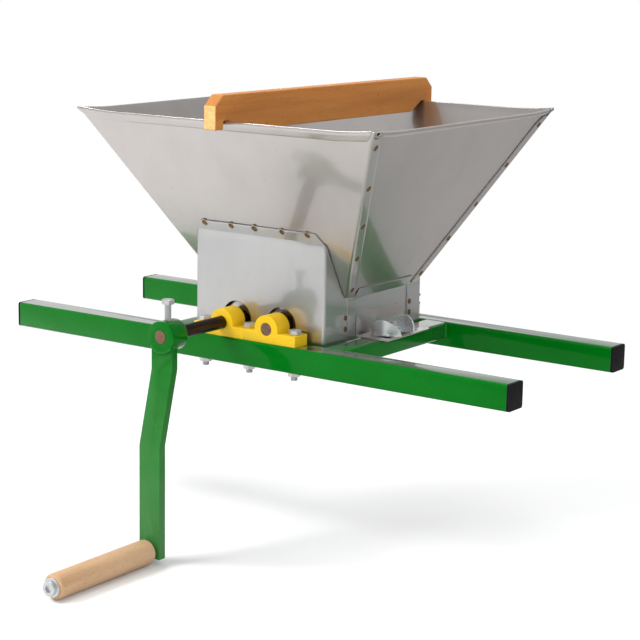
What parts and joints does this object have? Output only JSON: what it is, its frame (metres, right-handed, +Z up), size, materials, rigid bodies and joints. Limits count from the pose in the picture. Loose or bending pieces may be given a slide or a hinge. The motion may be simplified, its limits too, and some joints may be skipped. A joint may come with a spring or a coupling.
{
  "type": "grape crusher",
  "caption": "Hand-cranked fruit crusher: a flared stainless hopper over toothed rollers on a green tube frame that spans a tub, with a wooden-grip crank and a wooden cross bar.",
  "frame": {"origin": "middle of the front rail's underside", "axes": "+X along the rails, +Y from the front rail (crank side) to the rear rail, +Z up"},
  "size_m": [0.702, 0.6499, 0.523],
  "materials": {
    "green_paint": "gloss",
    "stainless": "satin",
    "yellow_plastic": "satin",
    "black_plastic": "matte",
    "zinc_steel": "satin",
    "dark_steel": "satin",
    "gear_steel": "satin",
    "bar_wood": "satin",
    "grip_wood": "satin"
  },
  "bodies": {
    "frame": {"front_rail": "green_paint", "rear_rail": "green_paint", "left_crossmember": "green_paint", "right_crossmember": "green_paint", "rail_end_plugs": "black_plastic", "rail_sleeves": "zinc_steel", "front_left_bearing": "yellow_plastic", "front_right_bearing": "yellow_plastic", "rear_left_bearing": "yellow_plastic", "rear_right_bearing": "yellow_plastic", "bearing_bolts": "zinc_steel", "bearing_nuts": "zinc_steel", "hold_down_studs": "zinc_steel"},
    "drive": {"drive_shaft": "dark_steel", "drive_drum": "stainless", "drive_blades": "stainless", "drive_gear": "gear_steel", "drive_gear_pin": "zinc_steel", "crank_boss": "green_paint", "crank_arm": "green_paint", "crank_clamp_bolt": "zinc_steel", "grip_bolt": "zinc_steel", "grip_washer": "zinc_steel"},
    "driven": {"driven_shaft": "dark_steel", "driven_drum": "stainless", "driven_blades": "stainless", "driven_gear": "gear_steel", "driven_gear_pin": "zinc_steel"},
    "grip": {"crank_grip": "grip_wood"},
    "hopper": {"hopper_front_panel": "stainless", "hopper_rear_panel": "stainless", "hopper_left_panel": "stainless", "hopper_right_panel": "stainless", "neck_front_sheet": "stainless", "neck_rear_sheet": "stainless", "neck_left_sheet": "stainless", "neck_right_sheet": "stainless", "neck_left_deflector": "stainless", "neck_right_deflector": "stainless", "left_hold_down_bracket": "stainless", "right_hold_down_bracket": "stainless"},
    "left_washer": {"left_hold_down_washer": "zinc_steel"},
    "right_washer": {"right_hold_down_washer": "zinc_steel"},
    "left_nut": {"left_thumb_nut": "zinc_steel"},
    "right_nut": {"right_thumb_nut": "zinc_steel"},
    "bar": {"cross_bar": "bar_wood"}
  },
  "joints": [
    {"name": "drive_spin", "type": "hinge", "parent": "frame", "child": "drive", "pos_m": [-0.032, 0, 0.046], "axis": [0, 1, 0], "continuous": true},
    {"name": "driven_spin", "type": "hinge", "parent": "frame", "child": "driven", "pos_m": [0.032, 0, 0.046], "axis": [0, 1, 0], "continuous": true},
    {"name": "grip_spin", "type": "hinge", "parent": "drive", "child": "grip", "pos_m": [-0.032, -0.2, -0.196], "axis": [0, 1, 0], "continuous": true},
    {"name": "hopper_lift", "type": "slide", "parent": "frame", "child": "hopper", "axis": [0, 0, 1], "range_m": [0, 0.12]},
    {"name": "left_washer_lift", "type": "slide", "parent": "hopper", "child": "left_washer", "axis": [0, 0, 1], "range_m": [0, 0.0063]},
    {"name": "right_washer_lift", "type": "slide", "parent": "hopper", "child": "right_washer", "axis": [0, 0, 1], "range_m": [0, 0.0063]},
    {"name": "left_nut_turn", "type": "hinge", "parent": "left_washer", "child": "left_nut", "pos_m": [-0.1185, 0.12, 0.035], "axis": [0, 0, 1], "range_deg": [0, 1800]},
    {"name": "right_nut_turn", "type": "hinge", "parent": "right_washer", "child": "right_nut", "pos_m": [0.1185, 0.12, 0.035], "axis": [0, 0, 1], "range_deg": [0, 1800]},
    {"name": "cross_bar_lift", "type": "slide", "parent": "hopper", "child": "bar", "axis": [0, 0, 1], "range_m": [0, 0.08]}
  ],
  "couplings": [
    {"joint": "driven_spin", "follows": "drive_spin", "ratio": -1},
    {"joint": "left_washer_lift", "follows": "left_nut_turn", "m_per_rad": 0.00019894},
    {"joint": "right_washer_lift", "follows": "right_nut_turn", "m_per_rad": 0.00019894}
  ]
}
